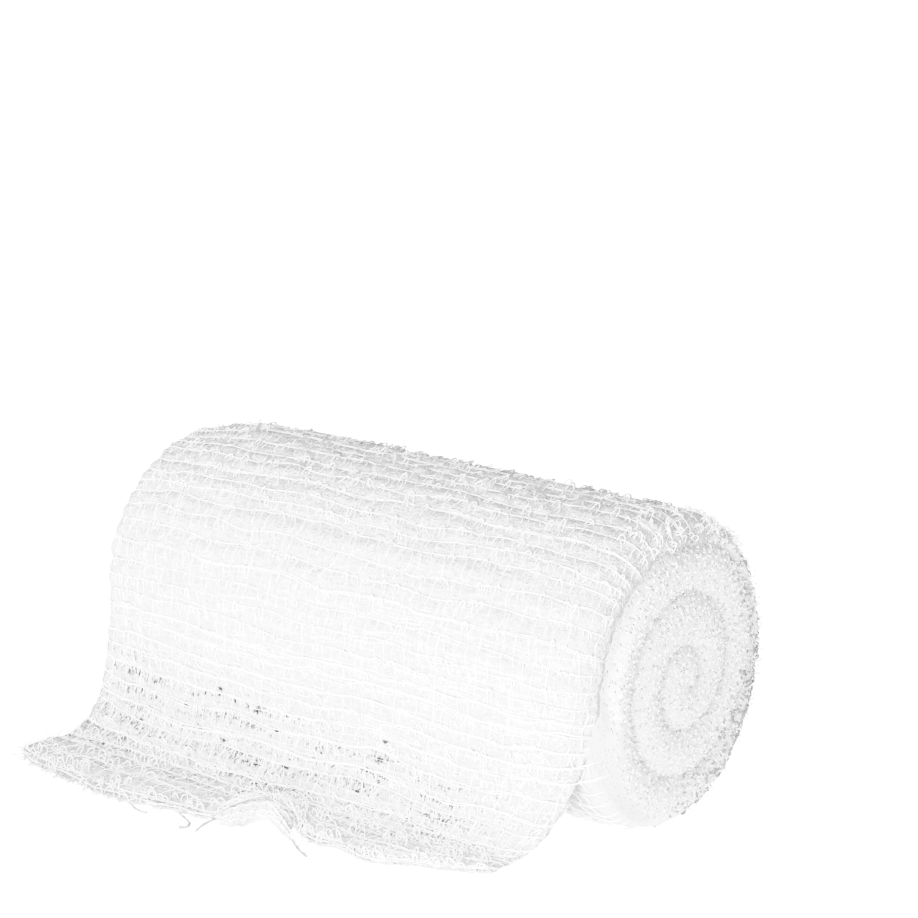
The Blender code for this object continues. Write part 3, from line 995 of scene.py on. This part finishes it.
def roll_profile(face_rings, rim_rings, side_rings):
    """Half the outline of the plain roll, from the middle of its far end to that of its near end."""
    flat = CORE_RADIUS - RIM
    side_half = HALF_WIDTH - RIM
    face = [flat * ring / face_rings for ring in range(face_rings)]
    turns = [0.5 * math.pi * ring / rim_rings for ring in range(rim_rings)]
    rim = [(side_half + RIM * math.cos(turn), flat + RIM * math.sin(turn)) for turn in turns]
    side = [(-side_half + 2.0 * side_half * ring / side_rings, CORE_RADIUS) for ring in range(side_rings + 1)]
    far = [(-HALF_WIDTH, radius) for radius in face] + [(-x, radius) for x, radius in rim]
    near = list(reversed(rim)) + [(HALF_WIDTH, radius) for radius in reversed(face)]
    return far + side + near


def skin_radius(x, angle):
    """Radius of the body: below the strip's ground where that covers it, level with its top elsewhere."""
    covered = angle > SEAM_ANGLE
    share = bared_share(np.where(covered, angle - math.tau, angle))
    bare = CORE_RADIUS + (GROUND + SHEET_GAP) * share
    inside = ease((HALF_WIDTH - np.abs(x)) / DRAWN_RIM)
    ripple = crease(angle * CORE_RADIUS, x) * inside * np.where(covered, 1.0, ease(5 * share))
    return np.where(covered, CORE_RADIUS + 0.1 * MM, bare - 0.1 * MM) - far_draw_in(x) + ripple


# The cloth beside the strip's near selvedge is pressed smooth and painted in shade, this wide at these angles
SMOOTH_BAND_ANGLES = np.radians((-180, -150, -120, -100, -80, 120, 150, 180))
SMOOTH_BAND = np.array((2.6, 3.6, 2.4, 0.6, 0.0, 0.0, 1.0, 2.2)) * MM
HIDDEN_RIM = 0.42                 # share of the near rim that the strip hides


def groove_depth(angle, turn):
    """The groove beside the strip's near selvedge, by the angle round the roll and the turn round its rim."""
    from_seam = np.mod(angle - SEAM_ANGLE, math.tau)
    start, end = ease(from_seam / math.radians(12)), ease((math.radians(245) - from_seam) / math.radians(15))
    return GROOVE_DEPTH * start * end * hump(turn, GROOVE_TURN, GROOVE_SPREAD)


def pressed_and_shaded_share(radius, angle, outer, rim):
    """How far the cloth of the near end is pressed smooth and painted in shade."""
    width = np.interp(angle, SMOOTH_BAND_ANGLES, SMOOTH_BAND)
    inside = radius - (outer - HIDDEN_RIM * rim - width)
    return 0.8 * ease(inside / (2 * MM)) * ease(width / (2.5 * MM))


def wound_body():
    """The wound turns: a plain roll, given its rims, the spiral on its ends and its pressed band."""
    bm = bmesh.new()
    profile = roll_profile(face_rings=34, rim_rings=24, side_rings=46)
    line = [bm.verts.new((x, radius, 0.0)) for x, radius in profile]
    edges = [bm.edges.new(pair) for pair in zip(line, line[1:])]
    bmesh.ops.spin(bm, geom=line + edges, cent=(0, 0, 0), axis=(1, 0, 0), angle=math.tau,
                   steps=200, use_merge=True)
    bmesh.ops.remove_doubles(bm, verts=bm.verts, dist=0.01 * MM)
    bmesh.ops.recalc_face_normals(bm, faces=bm.faces)
    x, y, z = read_points(bm).T
    radius, angle = np.hypot(y, z), np.arctan2(z, y)
    near = x > 0
    rim = rim_of(angle, near)
    inner = CORE_RADIUS - RIM
    turn = np.arctan2(radius - inner, np.abs(x) - HALF_WIDTH + RIM)
    on_face = radius < inner - 1e-6
    on_side = np.abs(x) < HALF_WIDTH - RIM + 1e-6
    side_x = x * (HALF_WIDTH - rim) / (HALF_WIDTH - RIM)
    outer = skin_radius(np.where(on_side, side_x, np.sign(x) * (HALF_WIDTH - rim)), angle)
    new_radius = np.where(on_face, radius * (outer - rim) / inner,
                          np.where(on_side, outer, outer - rim + rim * np.sin(turn)))
    stand = np.where(near, *(end_stand(new_radius, angle, near_end, outer) for near_end in (True, False)))
    fluff = 0.2 * MM * noise_at(x / (1.3 * MM), y / (1.3 * MM), z / (1.3 * MM))
    new_x = np.where(on_side, side_x, np.sign(x) * (stand + np.where(on_face, fluff, 0.0)))
    groove = np.where(near & ~on_side & ~on_face, groove_depth(angle, turn), 0.0)
    new_x = new_x - groove * np.cos(turn)
    new_radius = new_radius - groove * np.sin(turn)
    move_points(bm, round_axis(new_x, new_radius, angle, 0.0))
    # Marks for the material: the pressed band, smoothed and painted in shade, and the spiral groove, painted
    # in shade
    sunk = spiral_relief(new_radius, angle, NEAR_SPIRAL_START, 1) ** 2
    piece = mesh_piece("wound_body", bm, PACKED_COTTON)
    mark(piece, "pressed", np.where(near, pressed_and_shaded_share(new_radius, angle, outer, rim), 0.0))
    mark(piece, "sunk", np.where(near, sunk, 0.0))
    return piece


def end_curls(name, near, seed):
    """The turned selvedges on one end of the roll: small curls in rows that wind over the face."""
    rng = np.random.default_rng(seed)
    side = 1 if near else -1
    count = int(math.pi * CORE_RADIUS ** 2 / CURL_ROW_PITCH / CURL_PITCH)
    winding = np.sqrt((np.arange(count) + 0.5) / count) * CORE_RADIUS / CURL_ROW_PITCH
    middle = np.abs(winding * CURL_ROW_PITCH + rng.normal(0, 0.42, count) * MM)
    strayed = rng.normal(0, 0.45, count) * MM / np.maximum(middle, 1 * MM)
    angle = wrap_angle(winding * math.tau + strayed)
    turned = rng.normal(0, 0.9, count)
    reach = rng.uniform(0.1, 0.26, count)[:, None] * MM * (-1.0, -0.4, 0.5, 1.0)
    tall = rng.uniform(0.02, 0.34, count)[:, None] ** 1.2 * MM * (-0.3, 0.9, 1.0, -0.2)
    radius = np.abs(middle[:, None] + reach * np.sin(turned)[:, None] + rng.normal(0, 0.05, (count, 4)) * MM)
    angle = wrap_angle(angle[:, None] + reach * np.cos(turned)[:, None] / np.maximum(radius, 0.8 * MM))
    outer = skin_radius(np.full(angle.shape, side * (HALF_WIDTH - DRAWN_RIM)), angle)
    rim = rim_of(angle, near)
    drawn = ease((rim - RIM) / (DRAWN_RIM - RIM))
    tight = 1.4 * MM
    limit = outer + 0.1 * MM
    over = np.clip(radius - limit + tight, 0.0, tight)
    full = HALF_WIDTH - tight + np.sqrt(tight ** 2 - over ** 2)
    stand = end_stand(radius, angle, near, outer)
    stand = stand + (1 - drawn) * ease((radius - outer + rim) / rim) * (full - stand)
    lean = np.where(drawn > 0.5, np.clip(radius - outer + rim, 0, rim) / rim, over / tight)
    height = tall + 0.04 * MM
    stand = stand + height * np.sqrt(1 - np.minimum(lean, 0.95) ** 2)
    points = round_axis(side * stand, radius + height * lean, angle, LOWEST_YARN)
    last = ((1 - drawn) * limit + drawn * (outer - HIDDEN_RIM * rim))[:, 1]
    smooth = np.interp(angle[:, 1], SMOOTH_BAND_ANGLES, SMOOTH_BAND) + rng.normal(0, 0.5, count) * MM
    last = last - 1.1 * MM - smooth if near else last - 0.9 * MM
    return yarns(name, CURL_YARN, CURL_COTTON, points[middle < last])


def bare_radius(angle):
    """Radius of the body beside its near rim."""
    return float(skin_radius(np.array(HALF_WIDTH - DRAWN_RIM), np.array(angle)))


def near_rim_knots(rng):
    """Small knots round the back of the near rim, where it turns away from the camera, in cotton painted in
    shade.
    """
    arc = np.linspace(-1, 1, 5)
    for _ in range(RIM_KNOTS):
        angle = math.radians(rng.triangular(-105, -40, 75))
        seen_flat = CAMERA_WAY[1] * math.cos(angle) + CAMERA_WAY[2] * math.sin(angle)
        outline = math.atan2(-CAMERA_WAY[0], seen_flat)
        turn = outline + rng.normal(0, 0.05)
        reach, lean = rng.uniform(0.15, 0.5) * MM, rng.normal(0, 0.35) * MM
        lift = RIM - 0.15 * MM + rng.uniform(0.15, 0.65) * MM * (1 - arc ** 2)
        turns, outer = turn + lean * arc / RIM, bare_radius(angle)
        yield round_axis(HALF_WIDTH - RIM + lift * np.cos(turns), outer - RIM + lift * np.sin(turns),
                         angle + reach * arc / outer, 0.15 * MM)


def near_end_specks(rng):
    """Curls on the lower back part of the near end, in cotton painted in shade, thick near the rim and rare
    further in.
    """
    arc = np.linspace(-1, 1, 4)
    for _ in range(END_SPECKS):
        angle = math.radians(rng.triangular(-105, -45, 60))
        outer = bare_radius(angle)
        middle = outer - RIM - rng.exponential(2.4) * MM + 1.8 * MM
        if middle < 8 * MM:
            continue
        reach, lean = rng.uniform(0.12, 0.3) * MM, rng.normal(0, 0.25) * MM
        radius, angles = middle + lean * arc, angle + reach * arc / middle
        stand = end_stand(radius, angles, True, outer) + rng.uniform(0.1, 0.3) * MM * (1.2 - arc ** 2)
        yield round_axis(stand, radius, angles)


# ---------------------------------------------------------------- build the pieces

WOUND = [index for index, length in enumerate(WEFTS) if length < 0.5 * WEFT_PITCH]
LOOSE = [index for index, length in enumerate(WEFTS) if length > -0.5 * WEFT_PITCH]
ON_ROLL = [index for index in LOOSE if WEFTS[index] < LEAVE_LENGTH]
HANGING = [index for index in LOOSE if WEFTS[index] >= LEAVE_LENGTH]
RNG = np.random.default_rng(21)

body = wound_body()
ground = loose_ground()
loose_yarns = [
    yarns("loose_wefts", YARN, YARN_COTTON, weft_paths(LOOSE, RNG)),
    yarns("loose_weft_strands", THIN_YARN, YARN_COTTON, beside_paths(ON_ROLL, RNG, skip=0.6, apart=0.25 * MM),
          beside_paths(HANGING, RNG, skip=0.1, apart=0.7 * MM),
          beside_paths(HANGING, RNG, skip=0.4, apart=1.1 * MM)),
    yarns("loose_fine_wefts", FINE_YARN, YARN_COTTON, fine_weft_paths(RNG)),
    yarns("loose_warps", THIN_YARN, YARN_COTTON, warp_paths(LOOSE, RNG, tail_share=0.6)),
    yarns("loose_loops", LOOP_YARN, YARN_COTTON, loop_paths(LOOSE, RNG), rim_loop_paths(RNG)),
    yarns("loose_lint", HAIR, YARN_COTTON, lint_paths(RNG)),
    yarns("loose_threads", LOOP_YARN, YARN_COTTON, notch_threads(RNG)),
    # the fringe, the edge threads and the crest loops are in darker cotton, painted shade
    yarns("loose_fringe", FRINGE_YARN, FRINGE_SHADE_COTTON, fringe_paths(RNG)),
    yarns("loose_edge_threads", EDGE_THREAD, SHADED_COTTON, edge_threads(RNG)),
    yarns("loose_crest_loops", KNOT_YARN, CREST_SHADE_COTTON, crest_loop_paths(RNG)),
    notch_ply(),
    yarns("loose_lower_yarns", THIN_YARN, YARN_COTTON, lower_paths(RNG))]
wound_pieces = [
    body,
    yarns("wound_wefts", YARN, YARN_COTTON, weft_paths(WOUND, RNG),
          beside_paths(WOUND, RNG, skip=0.6, apart=0.3 * MM)),
    yarns("wound_warps", THIN_YARN, YARN_COTTON, warp_paths(WOUND, RNG, tail_share=0.0)),
    end_curls("near_end_curls", near=True, seed=3),
    end_curls("far_end_curls", near=False, seed=4),
    yarns("near_rim_knots", KNOT_YARN, SHADED_COTTON, near_rim_knots(RNG)),
    yarns("near_end_specks", KNOT_YARN, SHADED_COTTON, near_end_specks(RNG))]

for piece in (*wound_pieces, ground, *loose_yarns):
    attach(piece, BODY)
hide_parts("wound_roll")
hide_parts("loose_end")

# ---------------------------------------------------------------- floor, light and camera

FLOOR_HALF = 3.0
FLOOR_GLOW = 0.55                 # the floor's own light, and how bright it looks
FLOOR_SEEN = 1.15
CUT_SLOPE = 0.118                 # of the cut edge as it lies on the floor
FOOT_X = -15.8 * MM               # middle and half sizes of the floor that the object covers, where a shadow is painted
FOOT_HALF_X = 41.8 * MM
FOOT_Y = -12.0 * MM
FOOT_HALF_Y = 30.0 * MM
FOOT_INSIDE = -6.0 * MM           # how far inside and outside its outline the painted shadow fades
FOOT_OUTSIDE = 2.0 * MM
FULL_WHITE = 1.6                  # brightness that is shown as pure white
SHOULDER_POINTS = ((0.34, 0.55), (0.5, 0.74), (0.625, 0.85), (0.75, 0.915), (0.88, 0.955))
WORLD_GLOW = 0.76
LIGHTER_SIDE = (0.15, -0.27, -0.06)  # the world is lighter this way, by its length's share


def outside_footprint(tree):
    """0 on the floor under the object, 1 around it: the mask of the shadow painted under the object."""
    where = node(tree, "SeparateXYZ", {0: coordinates(tree, "Object")}).outputs
    sheared = maths(tree, "MULTIPLY_ADD", where["X"], -CUT_SLOPE, where["Y"])
    past = []
    for along, middle, half in ((where["X"], FOOT_X, FOOT_HALF_X), (sheared, FOOT_Y, FOOT_HALF_Y)):
        away = maths(tree, "ABSOLUTE", maths(tree, "SUBTRACT", along, middle))
        past.append(maths(tree, "SUBTRACT", away, half))
    return remap(tree, maths(tree, "MAXIMUM", *past), FOOT_INSIDE, FOOT_OUTSIDE, kind="SMOOTHSTEP")


def add_floor():
    """A white floor, whose own light is seen around the object and left out under it, which paints a shadow
    there.
    """
    material = bpy.data.materials.new("floor_white")
    material.use_nodes = True
    tree = material.node_tree
    seen = node(tree, "LightPath", {}).outputs["Is Camera Ray"]
    glow = remap(tree, seen, 0.0, 1.0, FLOOR_GLOW, FLOOR_SEEN)
    feed(tree, tree.nodes["Principled BSDF"], {
        "Base Color": grey(0.96), "Roughness": 0.9, "Emission Color": grey(1.0),
        "Emission Strength": maths(tree, "MULTIPLY", glow, outside_footprint(tree))})
    bm = bmesh.new()
    bmesh.ops.create_grid(bm, x_segments=1, y_segments=1, size=FLOOR_HALF)
    floor = mesh_piece("floor", bm, material)


def add_light(name, azimuth, elevation, distance, size, power):
    """A soft square light that faces the object. Azimuth 0 is at -Y, and it grows towards +X."""
    data = bpy.data.lights.new(name, "AREA")
    data.shape = "SQUARE"
    data.size = size
    data.energy = power
    lamp = link(bpy.data.objects.new(name, data))
    a, e = math.radians(azimuth), math.radians(elevation)
    spot = Vector((math.sin(a) * math.cos(e), -math.cos(a) * math.cos(e), math.sin(e))) * distance
    target = Vector((0, -0.01, 0.025))
    lamp.matrix_world = Matrix.Translation(target + spot) @ spot.to_track_quat("Z", "Y").to_matrix().to_4x4()


def add_world():
    """White light from all round, a little stronger from one side, in front of a pure white backdrop."""
    world = bpy.data.worlds.new("studio")
    world.use_nodes = True
    tree = world.node_tree
    room = tree.nodes["Background"]
    ways = {0: coordinates(tree, "Generated"), 1: LIGHTER_SIDE}
    side = node(tree, "VectorMath", ways, operation="DOT_PRODUCT")
    uneven = maths(tree, "MULTIPLY_ADD", side.outputs["Value"], WORLD_GLOW, WORLD_GLOW)
    feed(tree, room, {"Color": grey(1.0), "Strength": uneven})
    backdrop = node(tree, "Background", {"Color": grey(1.0), "Strength": FULL_WHITE})
    seen = node(tree, "LightPath", {}).outputs["Is Camera Ray"]
    both = node(tree, "MixShader", {0: seen, 1: room.outputs[0], 2: backdrop.outputs[0]})
    feed(tree, tree.nodes["World Output"], {"Surface": both.outputs[0]})
    bpy.context.scene.world = world


def add_camera():
    data = bpy.data.cameras.new("camera")
    data.sensor_width = SENSOR_WIDTH
    data.lens = SENSOR_WIDTH * FOCAL_PIXELS / PICTURE_PIXELS
    data.clip_start = 0.01
    camera = link(bpy.data.objects.new("camera", data))
    turn = Vector(CAMERA_WAY).normalized().to_track_quat("-Z", "Y").to_matrix().to_4x4()
    camera.matrix_world = Matrix.Translation(CAMERA_PLACE) @ turn
    bpy.context.scene.camera = camera


def soften_highlights():
    """A soft shoulder for the bright end, as in a bright studio picture of white cloth."""
    view = bpy.context.scene.view_settings
    view.view_transform = "Standard"
    view.use_curve_mapping = True
    tones = view.curve_mapping
    tones.white_level = (FULL_WHITE, FULL_WHITE, FULL_WHITE)
    curve = tones.curves[3]
    for given, shown in SHOULDER_POINTS:
        curve.points.new(given, shown)
    tones.update()


add_floor()
add_light("key", azimuth=10, elevation=12, distance=0.42, size=0.3, power=1.5)
add_world()
add_camera()
soften_highlights()
